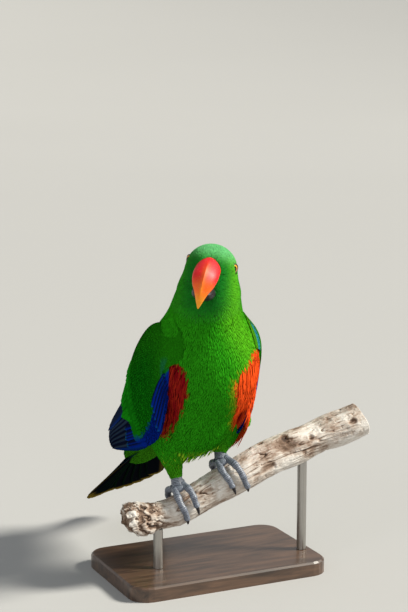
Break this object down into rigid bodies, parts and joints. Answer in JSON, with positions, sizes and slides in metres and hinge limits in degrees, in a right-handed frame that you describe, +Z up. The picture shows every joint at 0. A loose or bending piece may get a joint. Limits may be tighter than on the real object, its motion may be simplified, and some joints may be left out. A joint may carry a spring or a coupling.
{
  "type": "eclectus parrot model",
  "caption": "Life-size still model of a male eclectus parrot gripping a short length of driftwood, held up by rods on a flat stand.",
  "frame": {"origin": "centre of the underside of the stand's base", "axes": "+Z up, -Y the way that the bird's breast faces, +X to the bird's left"},
  "size_m": [0.2235, 0.2597, 0.2842],
  "materials": {
    "plumage_green": "overlapping small body feathers, satin green",
    "plumage_wing": "overlapping wing feathers, green with a blue edge",
    "plumage_tail": "long tail feathers, green above and dark below",
    "bill_orange": "smooth horn, red at the root to yellow at the tip",
    "bill_black": "smooth black horn",
    "eye": "wet gloss, orange iris round a dark pupil",
    "foot_grey": "small grey scales",
    "claw": "polished dark horn",
    "driftwood": "weathered, cracked and bleached",
    "stand_wood": "dark satin lacquer",
    "stand_metal": "satin"
  },
  "bodies": {
    "root": {"torso": "plumage_green", "neck": "plumage_green", "head": "plumage_green", "thigh_left": "plumage_green", "thigh_right": "plumage_green", "wing_left": "plumage_wing", "wing_right": "plumage_wing", "tail": "plumage_tail", "bill_upper": "bill_orange", "bill_lower": "bill_black", "eye_left": "eye", "eye_right": "eye", "foot_left": "foot_grey", "foot_right": "foot_grey", "perch": "driftwood", "stand_base": "stand_wood", "stand_rod_1": "stand_metal", "stand_rod_2": "stand_metal", "claw_left_outer_front": "claw", "claw_left_inner_front": "claw", "claw_left_outer_back": "claw", "claw_left_inner_back": "claw", "claw_right_outer_front": "claw", "claw_right_inner_front": "claw", "claw_right_outer_back": "claw", "claw_right_inner_back": "claw"}
  },
  "joints": []
}
